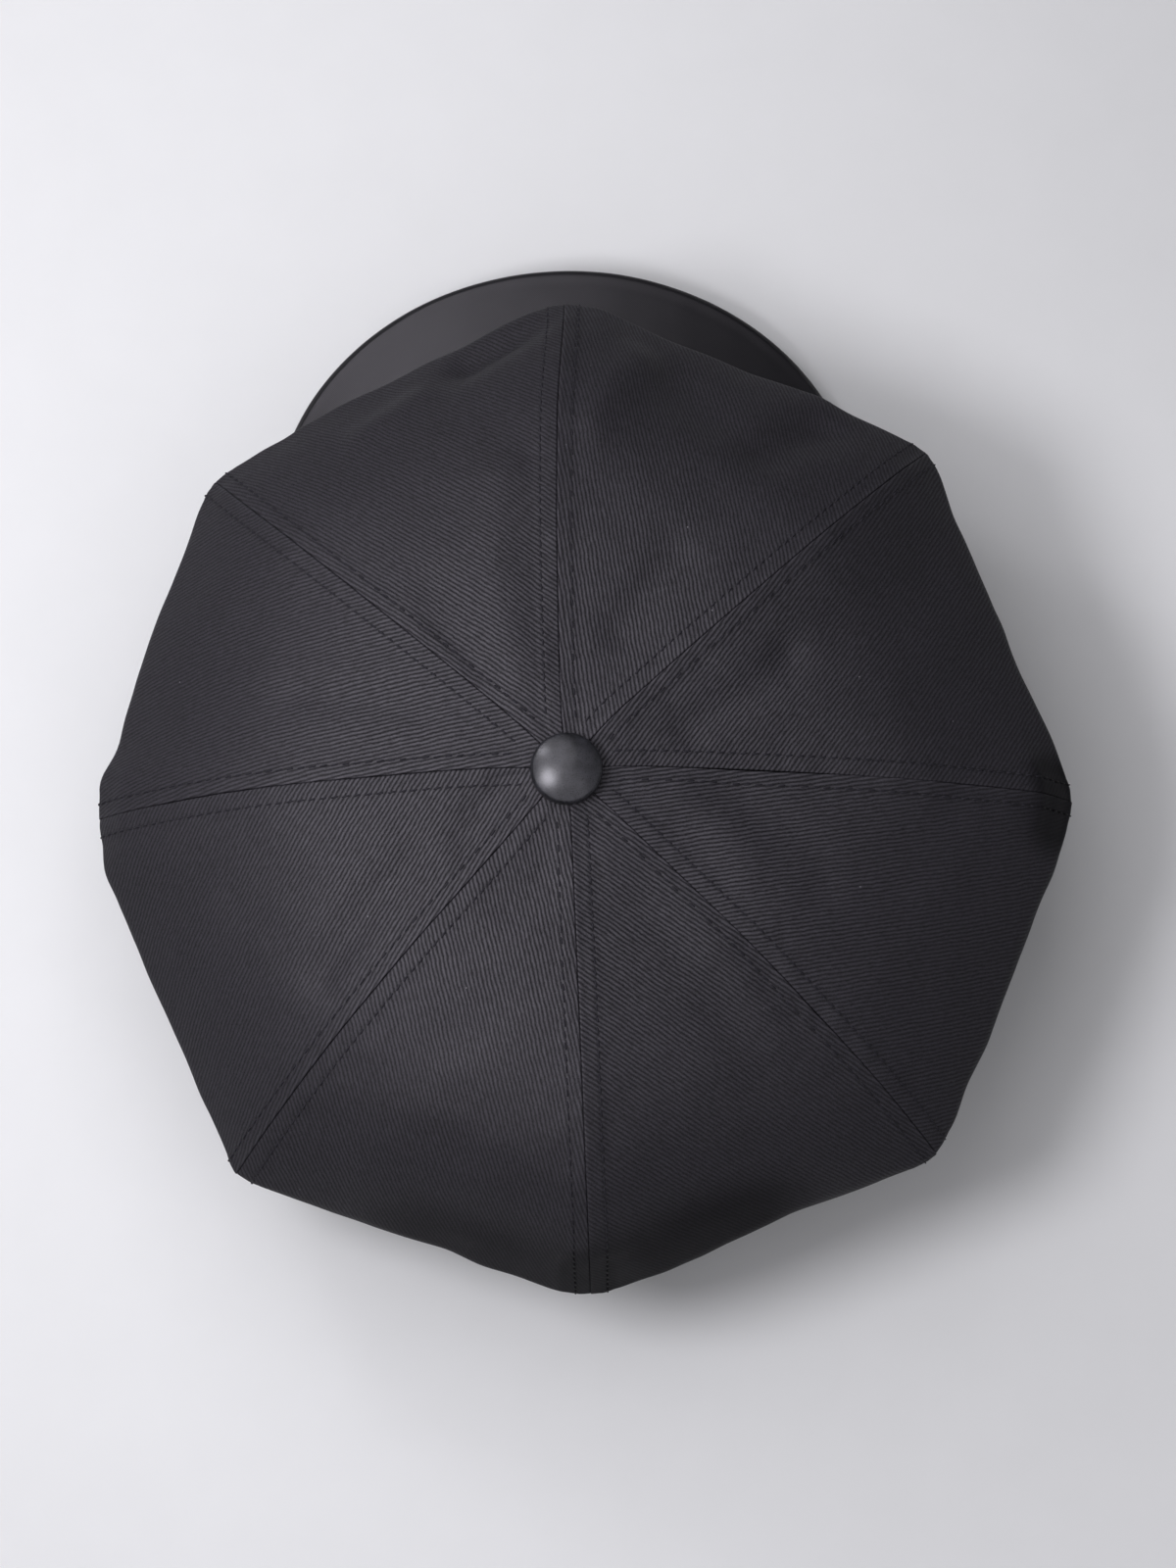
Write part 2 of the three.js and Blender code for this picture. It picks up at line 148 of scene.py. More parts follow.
# Painted shade on the cloth where the edge is turned under at the rear and at two corners: panel,
# middle and half-width along the edge as shares, how far in it reaches, and how strongly.
PAINTED_SHADE_PATCHES = (
    (4, 0.78, 0.50, 11.0, 0.65),
    (5, 0.22, 0.52, 14.0, 0.85),
    (4, 1.00, 0.13, 11.0, 0.95),
    (5, 0.00, 0.13, 11.0, 0.95),
    (6, 1.00, 0.20, 12.0, 0.95),
    (7, 0.00, 0.15, 12.0, 0.95),
)

# How far the stitch rows run from a seam, how far the allowance lifts the cloth, how far the rolled
# fold beside the seam dips, how deep the stitches draw it in, and the slit between two panels.
STITCH_AFTER = 4.9
STITCH_BEFORE = 4.1
SEAM_WELT = 0.28
SEAM_DIP = 0.42
SEAM_DRAWN_IN = 0.12
SEAM_GAP = 0.02

# How high the crown's cloth ends over the band.
OVER_BAND = 0.15

button_low, button_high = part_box("button")
button_axis = np.array([(button_low.x + button_high.x) / 2, (button_low.y + button_high.y) / 2, 0])


def in_metres(points):
    """Places measured from the button's axis in millimetres, in the part's frame."""
    return np.asarray(points, float) * 0.001 + button_axis


def mix(a, b, share):
    """From a at share 0 to b at share 1."""
    return a + (b - a) * share


def smooth_step(low, high, value):
    """0 at low, 1 at high, and soft between them. low may be the larger one."""
    share = np.clip((value - low) / (high - low), 0, 1)
    return share * share * (3 - 2 * share)


def seam_corner(seam):
    """Where a seam meets the crown's edge, seen from above."""
    turn = math.radians(SEAM_BEARING[seam])
    return np.array([SEAM_REACH[seam] * math.sin(turn), -SEAM_REACH[seam] * math.cos(turn)])


def seam_sway(seam, out):
    """How far a seam wanders sideways at a share of the way out, with the table's steps rounded."""
    steps = (-0.06, -0.03, 0, 0.03, 0.06)
    return np.mean([np.interp(out + step, SWAY_AT, SEAM_SWAY[seam]) for step in steps], axis=0)


def edge_shape(panel, across):
    """How far a panel's edge stands out from its even line, with the table's steps rounded."""
    steps = (-0.02, 0, 0.02)
    return np.mean([np.interp(across + step, EDGE_AT, EDGE_SHAPE[panel]) for step in steps], axis=0)


def seam_fall(seam, out):
    """How much of a seam's height is left at a share of the way out: 1 at the button, then less."""
    slope = SEAM_SLOPE[seam]
    return 1 - slope * out - (1 - slope) * out ** SEAM_TURN[seam]


def band_top(y):
    """The height of the band's upper rim, which climbs towards the front."""
    forward = np.clip((HEAD_Y - y) / HEAD_HALF_LENGTH, 0, 1)
    return BAND_HEIGHT + BAND_FRONT_RISE * forward**2


def band_reach(turn):
    """How far from the button's axis the band's outside lies along a bearing."""
    across = HEAD_HALF_WIDTH + BAND_WALL
    along = HEAD_HALF_LENGTH + BAND_WALL
    a = (np.sin(turn) / across) ** 2 + (np.cos(turn) / along) ** 2
    b = 2 * np.cos(turn) * HEAD_Y / along**2
    c = (HEAD_Y / along) ** 2 - 1
    return (-b + np.sqrt(b * b - 4 * a * c)) / (2 * a)


def beside_corner(distance):
    """0 at a corner of the crown, 1 at BLUNT_LENGTH from it, and fading out beyond."""
    share = distance / BLUNT_LENGTH
    return share * np.exp(1 - share)


def corner_tuck(seam, out, aside):
    """How far the cloth is pushed down near a corner, at this distance aside from its seam."""
    if not TUCK_DEPTH[seam]:
        return 0.0
    inwards = (1 - out) * SEAM_REACH[seam]
    fold = np.clip(1 - inwards / TUCK_IN[seam], 0, 1)
    ridge = TUCK_RIDGE * np.exp(-(((inwards - TUCK_IN[seam]) / TUCK_RIDGE_WIDTH) ** 2))
    return (TUCK_DEPTH[seam] * fold - ridge) * np.exp(-((aside / TUCK_ALONG[seam]) ** 4))


def bare_panel(panel, across, along):
    """Places on a panel's outer face. along is 0 to 1 over the top, to 2 round the edge and to 3
    under it, and across is 0 to 1 from one seam to the next."""
    first, last = panel, (panel + 1) % 8
    start, end = seam_corner(first), seam_corner(last)
    width = np.linalg.norm(end - start)
    outward = np.array([end[1] - start[1], start[0] - end[0]]) / width
    bulge = PANEL_BOW[panel] * 4 * across * (1 - across)
    bulge = bulge + SEAM_BLUNT[first] * beside_corner(width * across)
    bulge = bulge + SEAM_BLUNT[last] * beside_corner(width * (1 - across))
    edge_x = mix(start[0], end[0], across) + outward[0] * bulge
    edge_y = mix(start[1], end[1], across) + outward[1] * bulge
    reach = np.hypot(edge_x, edge_y)
    turn = np.arctan2(edge_x, -edge_y)
    swell = 4 * across * (1 - across)

    rim_height = mix(SEAM_HEIGHT[first], SEAM_HEIGHT[last], across)
    roll = mix(CORNER_ROLL, PANEL_ROLL[panel], swell)
    near_edge = mix(seam_fall(first, 0.99), seam_fall(last, 0.99), across)
    slope_end = (APEX_HEIGHT - rim_height) * near_edge
    rim_start = math.pi / 2 - np.arctan2(slope_end, 0.01 * reach)
    top_reach = reach - roll + roll * np.cos(rim_start)
    top_height = rim_height + roll * np.sin(rim_start)

    out = mix(CENTRE_HOLE / reach, 1, np.clip(along, 0, 1))
    fall = mix(seam_fall(first, out), seam_fall(last, out), across)
    top_r = out * top_reach
    top_z = mix(top_height, APEX_HEIGHT, fall)
    top_z = top_z + PANEL_PUFF[panel] * swell * np.sin(math.pi * out) ** 2

    sewn_r = band_reach(turn) - (BAND_WALL - CLOTH) / 2
    sewn_z = band_top(-sewn_r * np.cos(turn)) + OVER_BAND
    rim_end = -UNDERSIDE_SAG * np.arctan2(reach - roll - sewn_r, rim_height - sewn_z)
    rim_turn = mix(rim_start, rim_end, np.clip(along - 1, 0, 1))
    rim_r = reach - roll + roll * np.cos(rim_turn)
    rim_z = rim_height + roll * np.sin(rim_turn)

    under_r = reach - roll + roll * np.cos(rim_end)
    under_z = rim_height + roll * np.sin(rim_end)
    length = np.hypot(under_r - sewn_r, under_z - sewn_z)
    share = np.clip(along - 2, 0, 1)
    weights = ((1 - share) ** 3, 3 * share * (1 - share) ** 2, 3 * share**2 * (1 - share), share**3)
    knots_r = (under_r, under_r + 0.35 * length * np.sin(rim_end), sewn_r + 0.22 * length, sewn_r)
    knots_z = (under_z, under_z - 0.35 * length * np.cos(rim_end), sewn_z + 0.2 * length, sewn_z)
    low_r = sum(w * k for w, k in zip(weights, knots_r))
    low_z = sum(w * k for w, k in zip(weights, knots_z))

    r = np.where(along <= 1, top_r, np.where(along <= 2, rim_r, low_r))
    r = r + edge_shape(panel, across) * np.where(along <= 1, out**8, (1 - share) ** 2)
    z = np.where(along <= 1, top_z, np.where(along <= 2, rim_z, low_z))
    tuck = corner_tuck(first, out, width * across * out)
    tuck = tuck + corner_tuck(last, out, width * (1 - across) * out)
    z = z - tuck * (1 - share) ** 2
    sway = mix(seam_sway(first, out), seam_sway(last, out), across)
    turn = turn + sway / (out * reach)
    return np.stack([r * np.sin(turn), -r * np.cos(turn), z], axis=-1)


def face_normals(grid):
    """The outward direction at each place of a grid whose rows go out and columns go round."""
    down = np.gradient(grid, axis=0)
    round_ = np.gradient(grid, axis=1)
    normal = np.cross(down, round_)
    return normal / np.maximum(np.linalg.norm(normal, axis=-1, keepdims=True), 1e-9)


def soft_waves(points, seed, shortest, longest, count=28):
    """An even, soft unevenness between about -1 and 1, the same on both sides of a seam."""
    chance = np.random.default_rng(seed)
    total = np.zeros(points.shape[:-1])
    for _ in range(count):
        direction = chance.normal(size=3)
        direction /= np.linalg.norm(direction)
        length = chance.uniform(shortest, longest)
        phase = chance.uniform(0, 2 * math.pi)
        total += np.sin(points @ direction * (2 * math.pi / length) + phase) * length / longest
    return total / math.sqrt(count / 2)


def fold_lift(panel, out, across, width):
    """How far the folds lift each place of a panel's top. width is the panel's at its edge."""
    reach = (SEAM_REACH[panel] + SEAM_REACH[(panel + 1) % 8]) / 2
    lift = np.zeros(np.broadcast(out, across).shape)
    for row, out_a, across_a, out_b, across_b, height, half_width in PANEL_FOLDS:
        if row != panel + 1:
            continue
        along_x, along_y = (out_b - out_a) * reach, (across_b - across_a) * width * out
        place_x, place_y = (out - out_a) * reach, (across - across_a) * width * out
        share = (place_x * along_x + place_y * along_y) / (along_x**2 + along_y**2)
        share = np.clip(share, 0, 1)
        away = np.hypot(place_x - share * along_x, place_y - share * along_y)
        lift += height * np.exp(-((away / half_width) ** 2))
    return lift * np.minimum(8 * across * (1 - across), 1)


def painted_shade_on_panel(panel, out, across):
    """How strongly painted shade darkens each place of a panel's top, in the turned-under parts."""
    reach = (SEAM_REACH[panel] + SEAM_REACH[(panel + 1) % 8]) / 2
    hidden = np.zeros(np.broadcast(out, across).shape)
    for row, middle, half_width, inwards, strength in PAINTED_SHADE_PATCHES:
        if row == panel + 1:
            aside = np.abs(across - middle) / half_width
            depth = inwards / reach * np.sqrt(np.maximum(1 - aside**2, 0))
            # A part that runs along most of a panel fades in more gently.
            soft = 0.022 if half_width < 0.2 else 0.045
            part = smooth_step(1 - depth - soft, 1 - depth + soft, out)
            part = part * smooth_step(1.05, 0.5, aside)
            hidden = np.maximum(hidden, strength * part)
    return hidden


def seam_relief(distance, row, proud, open_seam):
    """The cloth's height beside a seam: it rolls down into the seam, stands up over the seam
    allowance, and is drawn in by the row of stitches."""
    roll = np.clip(1 - distance / 0.5, 0, 1)
    dip = SEAM_DIP * (1 - np.sqrt(np.maximum(1 - roll**2, 0))) * open_seam
    welt = SEAM_WELT * (1 - smooth_step(row - 0.6, row + 2.2, distance))
    drawn_in = SEAM_DRAWN_IN * np.exp(-(((distance - row) / 0.6) ** 2))
    return welt + proud * np.exp(-((distance / 1.5) ** 2)) - dip - drawn_in


# Columns of the mesh stand closer together beside the seams. Its rows go over the top, round the
# edge and under it.
column_at = np.linspace(0, 90, 1801)
column_step = np.interp(column_at, (0, 1, 1.5, 6, 16, 90), (0.16, 0.16, 0.38, 0.42, 1.9, 1.9))
column_count = np.concatenate([[0], np.cumsum(0.05 / column_step[1:])])
HALF_COLUMNS = 46
TOP_ROWS, EDGE_ROWS, UNDER_ROWS = 117, 16, 24
panel_along = np.concatenate(
    [
        np.linspace(0, 1, TOP_ROWS + 1),
        np.linspace(1, 2, EDGE_ROWS + 1)[1:],
        np.linspace(2, 3, UNDER_ROWS + 1)[1:],
    ]
)


def spread_columns(width):
    """Distances from the first seam for every column, where the panel is this wide."""
    shares = np.linspace(0, 1, HALF_COLUMNS + 1)
    half = width / 2
    near = np.interp(shares * np.interp(half, column_at, column_count), column_count, column_at)
    return np.concatenate([near, (width - near[-2::-1])])


def sewn_panel(panel):
    """The outer and inner face of a panel, with what its stitches and weave need to know."""
    coarse = bare_panel(panel, *np.meshgrid(np.linspace(0, 1, 9), panel_along))
    widths = np.linalg.norm(np.diff(coarse, axis=1), axis=-1).sum(axis=1)
    distance = np.array([spread_columns(width) for width in widths])
    across = distance / widths[:, None]
    along = np.repeat(panel_along[:, None], across.shape[1], axis=1)
    bare = bare_panel(panel, across, along)
    out = np.clip(along, 0, 1)

    on_top = 1 - smooth_step(0.93, 1.0, along)
    by_button = smooth_step(0.05, 0.16, out)
    waves = soft_waves(bare, seed=5, shortest=26, longest=70) * 0.45
    waves = waves + soft_waves(bare, seed=11, shortest=9, longest=22) * 0.12
    folds = fold_lift(panel, out, across, widths[TOP_ROWS]) * on_top
    pressed = bare + face_normals(bare) * (waves * by_button + folds)[..., None]

    normal = face_normals(pressed)
    from_seam = np.minimum(distance, widths[:, None] - distance)
    first, last = panel, (panel + 1) % 8
    proud = np.where(across < 0.5, PROUD_AFTER[first], PROUD_BEFORE[last])
    pucker = soft_waves(bare, seed=23, shortest=5, longest=11) * 0.10
    pucker = pucker * np.exp(-((from_seam / 9) ** 2))
    row = np.where(across < 0.5, STITCH_AFTER, STITCH_BEFORE)
    open_seam = 1 - 0.7 * smooth_step(0.93, 1.05, along)
    relief = seam_relief(from_seam, row, proud, open_seam) + pucker
    outer = pressed + normal * relief[..., None]
    inner = outer - normal * CLOTH

    # Each side of the panel stops just short of the seam.
    turn = np.arctan2(outer[..., 0], -outer[..., 1])
    sideways = np.stack([np.cos(turn), np.sin(turn), np.zeros_like(turn)], axis=-1)
    for grid in (outer, inner):
        grid[:, 0] += sideways[:, 0] * SEAM_GAP / 2
        grid[:, -1] -= sideways[:, -1] * SEAM_GAP / 2

    # The weave keeps its direction over the whole gore, measured from its middle line.
    step = np.linalg.norm(np.diff(pressed, axis=0), axis=-1)
    length = np.concatenate([np.full((1, step.shape[1]), CENTRE_HOLE), step]).cumsum(axis=0)
    middle = math.atan2(*(seam_corner(first) + seam_corner(last)) * (1, -1))
    aside = (turn - middle + math.pi) % (2 * math.pi) - math.pi
    reach = np.hypot(pressed[..., 0], pressed[..., 1])
    top_length = length[TOP_ROWS]
    past_edge = top_length * np.cos(aside) + length - top_length
    down = np.where(along <= 1, length * np.cos(aside), past_edge)
    weave = np.stack([reach * np.sin(aside), down], axis=-1)
    rim = np.exp(-(((along - 1.35) / 0.35) ** 2))
    wear = np.clip(np.exp(-(((from_seam - 0.6) / 0.4) ** 2)) * (0.2 + proud) + 0.2 * rim, 0, 1)
    # Painted shade: the turned-under patches, and a fainter painted shade under the crown past its
    # edge's roll.
    painted_shade = np.maximum(painted_shade_on_panel(panel, out, across), 0.6 * smooth_step(1.0, 1.7, along))
    marks = {"wear": wear, "painted_shade": painted_shade}
    cut = {
        "outer": outer,
        "inner": inner,
        "normal": normal,
        "distance": distance,
        "width": widths,
        "weave": weave,
        "marks": marks,
    }
    after, before = (row_travelled(row_on_panel(cut, side)[0], cut) for side in (True, False))
    on_row = np.where(across < 0.5, after[:, None], before[:, None])
    cut["seams"] = np.stack([from_seam - row, on_row], -1)
    return cut


def row_on_panel(cut, from_first):
    """The line of a stitch row on a panel, and the cloth's outward direction along it."""
    width = cut["width"]
    target = np.broadcast_to(STITCH_AFTER if from_first else width - STITCH_BEFORE, width.shape)
    path, normal = [], []
    for row in np.flatnonzero(width > NARROWEST):
        at, where = target[row], cut["distance"][row]
        path.append([np.interp(at, where, cut["outer"][row, :, k]) for k in range(3)])
        normal.append([np.interp(at, where, cut["normal"][row, :, k]) for k in range(3)])
    return np.array(path), np.array(normal)


def row_travelled(path, cut):
    """How long a stitch row is, up to each row of the panel's mesh."""
    length = np.concatenate([[0], np.cumsum(np.linalg.norm(np.diff(path, axis=0), axis=1))])
    return np.concatenate([np.zeros(len(cut["width"]) - len(length)), length])


# Beside each seam one panel's folded edge stands a little prouder than the other's. The rows of
# stitches start where a panel is wide enough for both.
PROUD_AFTER = (0.0, 0.2, 0.0, 0.0, 0.2, 0.0, 0.0, 0.3)
PROUD_BEFORE = (0.3, 0.05, 0.2, 0.25, 0.05, 0.2, 0.25, 0.3)
NARROWEST = STITCH_AFTER + STITCH_BEFORE + 1.2


def new_piece(name, points, faces):
    """A piece of its own, with a smooth skin, from places in millimetres."""
    mesh = bpy.data.meshes.new(name)
    mesh.from_pydata(in_metres(points).tolist(), [], faces)
    mesh.shade_smooth()
    piece = bpy.data.objects.new(name, mesh)
    bpy.context.collection.objects.link(piece)
    return piece


# On a piece's flat maps 1 stands for 100 mm.
MM_TO_MAP = 0.01
MAP_TO_MM = 100


def map_corners(mesh, name, places):
    """A flat map, with a place in millimetres for each corner of each face."""
    layer = mesh.uv_layers.new(name=name)
    layer.data.foreach_set("uv", (places * MM_TO_MAP).reshape(-1))


def cloth_mesh(name, outer, inner, weave, marks, seams=None, ring=False):
    """A closed wall between two grids of places in millimetres, with its weave's own map."""
    rows, columns = outer.shape[:2]
    index = np.arange(rows * columns).reshape(rows, columns)
    if ring:
        index = np.concatenate([index, index[:, :1]], axis=1)
    under = index + rows * columns
    quads = [
        np.stack([index[:-1, :-1], index[1:, :-1], index[1:, 1:], index[:-1, 1:]], -1),
        np.stack([under[:-1, 1:], under[1:, 1:], under[1:, :-1], under[:-1, :-1]], -1),
        np.stack([index[0, :-1], index[0, 1:], under[0, 1:], under[0, :-1]], -1),
        np.stack([index[-1, 1:], index[-1, :-1], under[-1, :-1], under[-1, 1:]], -1),
    ]
    if not ring:
        quads.append(np.stack([index[:-1, 0], under[:-1, 0], under[1:, 0], index[1:, 0]], -1))
        quads.append(np.stack([index[1:, -1], under[1:, -1], under[:-1, -1], index[:-1, -1]], -1))
    faces = np.concatenate([quad.reshape(-1, 4) for quad in quads])
    points = np.concatenate([outer.reshape(-1, 3), inner.reshape(-1, 3)])
    piece = new_piece(name, points, faces.tolist())
    piece.data.set_sharp_from_angle(angle=math.radians(55))
    map_corners(piece.data, "weave", np.tile(weave.reshape(-1, 2), (2, 1))[faces.reshape(-1)])
    if seams is not None:
        # The inner face is kept clear of the needle holes, which show on the outer one alone.
        seams_at = np.concatenate([seams.reshape(-1, 2), seams.reshape(-1, 2) + (9, 0)])
        map_corners(piece.data, "seams", seams_at[faces.reshape(-1)])
    for mark, value in marks.items():
        attribute = piece.data.attributes.new(mark, "FLOAT", "POINT")
        attribute.data.foreach_set("value", np.tile(value.reshape(-1), 2))
    return piece


class Thread:
    """One value in a finish. Sums written on it become Math nodes in the same finish."""

    def __init__(self, tree, socket=None):
        self.tree = tree
        self.socket = socket

    def node(self, kind, settings, sockets, result=0):
        """A new node, joined to the values it is given, as the value that it results in."""
        made = self.tree.nodes.new(kind)
        for setting, value in settings.items():
            setattr(made, setting, value)
        for socket, value in sockets.items():
            if isinstance(value, Thread):
                self.tree.links.new(value.socket, made.inputs[socket])
            else:
                made.inputs[socket].default_value = value
        return Thread(self.tree, made.outputs[result])

    def sum_of(self, operation, *values):
        return self.node("ShaderNodeMath", {"operation": operation}, dict(enumerate(values)))

    def __add__(self, other):
        return self.sum_of("ADD", self, other)

    def __sub__(self, other):
        return self.sum_of("SUBTRACT", self, other)

    def __rsub__(self, other):
        return self.sum_of("SUBTRACT", other, self)

    def __mul__(self, other):
        return self.sum_of("MULTIPLY", self, other)

    def __truediv__(self, other):
        return self.sum_of("DIVIDE", self, other)

    def __pow__(self, other):
        return self.sum_of("POWER", self, other)

    __radd__ = __add__
    __rmul__ = __mul__

    def place(self):
        """The place on the piece, in metres."""
        return self.node("ShaderNodeTexCoord", {}, {}, result="Object")

    def axis(self, vector, letter):
        """One of a vector's three lengths."""
        return self.node("ShaderNodeSeparateXYZ", {}, {"Vector": vector}, result=letter)

    def map_place(self, name):
        """The two lengths of one of the piece's flat maps, in millimetres."""
        at = self.node("ShaderNodeUVMap", {"uv_map": name}, {})
        return self.axis(at, "X") * MAP_TO_MM, self.axis(at, "Y") * MAP_TO_MM

    def mark(self, name):
        """A value that the mesh holds at each of its places."""
        return self.node("ShaderNodeAttribute", {"attribute_name": name}, {}, result="Fac")

    def bump(self, strength, height_in_metres):
        """This value as a fine relief."""
        sockets = {"Strength": strength, "Distance": height_in_metres, "Height": self}
        return self.node("ShaderNodeBump", {}, sockets, result="Normal")

    def wave(self):
        """From 0 to 1 and back, once for every whole number."""
        return self.sum_of("COSINE", self * (2 * math.pi)) * 0.5 + 0.5

    def above(self, low, high):
        """0 below low, 1 above high, and soft between them."""
        sockets = {"Value": self, "From Min": low, "From Max": high}
        return self.node("ShaderNodeMapRange", {"interpolation_type": "SMOOTHSTEP"}, sockets)

    def speckle(self, place, size, detail=2.0, roughness=0.5):
        """An uneven value around 0.5, with spots of about this size in metres."""
        sockets = {"Vector": place, "Scale": 1 / size, "Detail": detail, "Roughness": roughness}
        return self.node("ShaderNodeTexNoise", {"noise_dimensions": "3D"}, sockets)

    def blend(self, dark, light):
        """A colour between two others, by this value."""
        colours = {0: self, 6: dark, 7: light}
        return self.node("ShaderNodeMix", {"data_type": "RGBA"}, colours, result=2)


def new_finish(name):
    """An empty finish, and a thread to make its values with."""
    material = bpy.data.materials.new(name)
    material.use_nodes = True
    return material, Thread(material.node_tree)


def fill_finish(material, values):
    """Joins the values that vary over the piece to its shader, and sets those that don't."""
    shader = material.node_tree.nodes["Principled BSDF"]
    for name, value in values.items():
        if isinstance(value, Thread):
            material.node_tree.links.new(value.socket, shader.inputs[name])
        else:
            shader.inputs[name].default_value = value
    return material


# The twill's ribs and the yarns under them, its colours, and the lint that clings to it.
TWILL_PITCH = 1.19
TWILL_ANGLE = math.radians(32)
FLOAT_WIDTH, FLOAT_LENGTH = 0.9, 2.6
YARN_PITCH = 0.47
# The valley colour is painted shade between the ribs, and the ridge colour is painted light on
# their tops.
TWILL_SHADED_VALLEY = (0.0025, 0.0024, 0.0031, 1)
TWILL_LIT_RIDGE = (0.0172, 0.0164, 0.0215, 1)
TWILL_WORN = (0.036, 0.0345, 0.040, 1)
# The needle holes' colour is painted shade inside them.
TWILL_HOLE_SHADE = (0.0012, 0.0012, 0.0015, 1)
STITCH_PITCH = 3.3
LINT = (0.30, 0.30, 0.31, 1)
LINT_SPACING = 0.007


def twill_finish(name, lean=1, sewn=True):
    """Diagonal cotton ribs, needle holes, lint, worn edges, painted light and shade. lean turns the
    ribs.
    """
    material, thread = new_finish(name)
    place = thread.place()
    aside, down = thread.map_place("weave")
    wander = thread.speckle(place, 0.007) - 0.5
    jitter = thread.speckle(place, 0.0012) - 0.5
    across_ribs = aside * math.cos(TWILL_ANGLE) - down * (lean * math.sin(TWILL_ANGLE))
    along_ribs = aside * (lean * math.sin(TWILL_ANGLE)) + down * math.cos(TWILL_ANGLE)
    rib = (across_ribs / TWILL_PITCH + wander * 0.7 + jitter * 0.35).wave()
    # Each rib is a row of short yarn floats, and some stand higher or catch more light than others.
    floats_at = {"X": across_ribs / FLOAT_WIDTH, "Y": along_ribs / FLOAT_LENGTH}
    floats = thread.speckle(thread.node("ShaderNodeCombineXYZ", {}, floats_at), 1.0, 2.0, 0.6)
    yarn = (aside / YARN_PITCH + jitter * 0.5).wave()
    fibre = thread.speckle(place, 0.0003, 3.0, 0.65)
    # The rubbed cloth near the crown's edge shows its ribs less.
    shown = 1 - ((aside * aside + down * down) ** 0.5).above(45, 125) * 0.8 if sewn else 1
    height = (rib * (floats + 0.8) + yarn * rib * 0.4) * shown + fibre * 0.45
    if sewn:
        off_row, on_row = thread.map_place("seams")
        hole = (on_row / STITCH_PITCH - 0.5).wave() ** 10
        hole = hole * (1 - off_row.sum_of("ABSOLUTE", off_row).above(0.15, 0.5))
        height = height - hole
    patches = thread.speckle(place, 0.03, 3.0, 0.6)
    # Painted light and shade in the weave: rib tops and floats lighter, valleys darker.
    shade = rib**0.8 * 0.66 + (fibre - 0.5) + (floats - 0.5) * (rib * 1.1 + 0.3)
    shade = shade + (patches - 0.5) * 0.3 + (yarn - 0.5) * 0.12 + 0.13
    cloth = shade.above(0.0, 1.0).blend(TWILL_SHADED_VALLEY, TWILL_LIT_RIDGE)
    cloth = (thread.mark("wear") * (rib * 0.6 + 0.2)).blend(cloth, TWILL_WORN)
    painted_shade = thread.mark("painted_shade")
    # Painted shade: the turned-under parts and the crown's underside are darkened towards the
    # valley colour.
    cloth = (painted_shade * 0.8).blend(cloth, TWILL_SHADED_VALLEY)
    if sewn:
        # Painted shade in the needle holes.
        cloth = (hole * 0.7).blend(cloth, TWILL_HOLE_SHADE)
    cells = {"Vector": place, "Scale": 1 / LINT_SPACING}
    speck = thread.node("ShaderNodeTexVoronoi", {"feature": "F1"}, cells, result="Distance")
    chosen = thread.node("ShaderNodeTexVoronoi", {"feature": "F1"}, cells, result="Color")
    chosen = thread.node("ShaderNodeSeparateColor", {}, {"Color": chosen}, result="Red")
    lint = (1 - speck.above(0.018, 0.034)) * chosen.above(0.80, 0.82)
    cloth = (lint * 0.6).blend(cloth, LINT)
    # Only the tops of the ribs are pressed smooth enough to shine.
    shine = (rib * (floats * 0.9 + 0.27) - 0.36) * shown + (fibre - 0.5) * 0.8 + shown * 0.18 + 0.3
    # The painted shade also takes nearly all of the shine away.
    shine = shine * (0.6 - painted_shade * 0.58)
    values = {
        "Base Color": cloth,
        "Roughness": 0.78 - (fibre - 0.5) * 0.2,
        "Normal": height.bump(1.0, 0.00012),
        "Specular IOR Level": 0.2,
        "Coat Weight": shine,
        "Coat Roughness": 0.68,
        "Coat IOR": 2.1,
        "Coat Tint": (0.98, 0.96, 1.0, 1),
    }
    return fill_finish(material, values)


crown_twill = twill_finish("crown_twill")
panels = []
for panel in range(8):
    cut = sewn_panel(panel)
    panels.append(cut)
    name = f"panel_{panel + 1}"
    piece = cloth_mesh(name, cut["outer"], cut["inner"], cut["weave"], cut["marks"], cut["seams"])
    piece.data.materials.append(crown_twill)
    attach(piece, "root")
    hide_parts(f"crown_panel_{panel + 1}")


# ---- Topstitching of the crown ----
# One row of black lockstitches on each side of every seam, 4 to 5 mm from it, which holds the seam
# allowance flat. The thread is thick, and every stitch is drawn down into the cloth at its ends.

# The shares of the stitch's pitch between which it shows, how high it stands over the cloth in the
# middle, and how much lower its ends lie.
THREAD_RADIUS = 0.24
STITCH_SHOWN = (0.10, 0.88)
STITCH_ARCH = 0.20
STITCH_SINK = 0.55


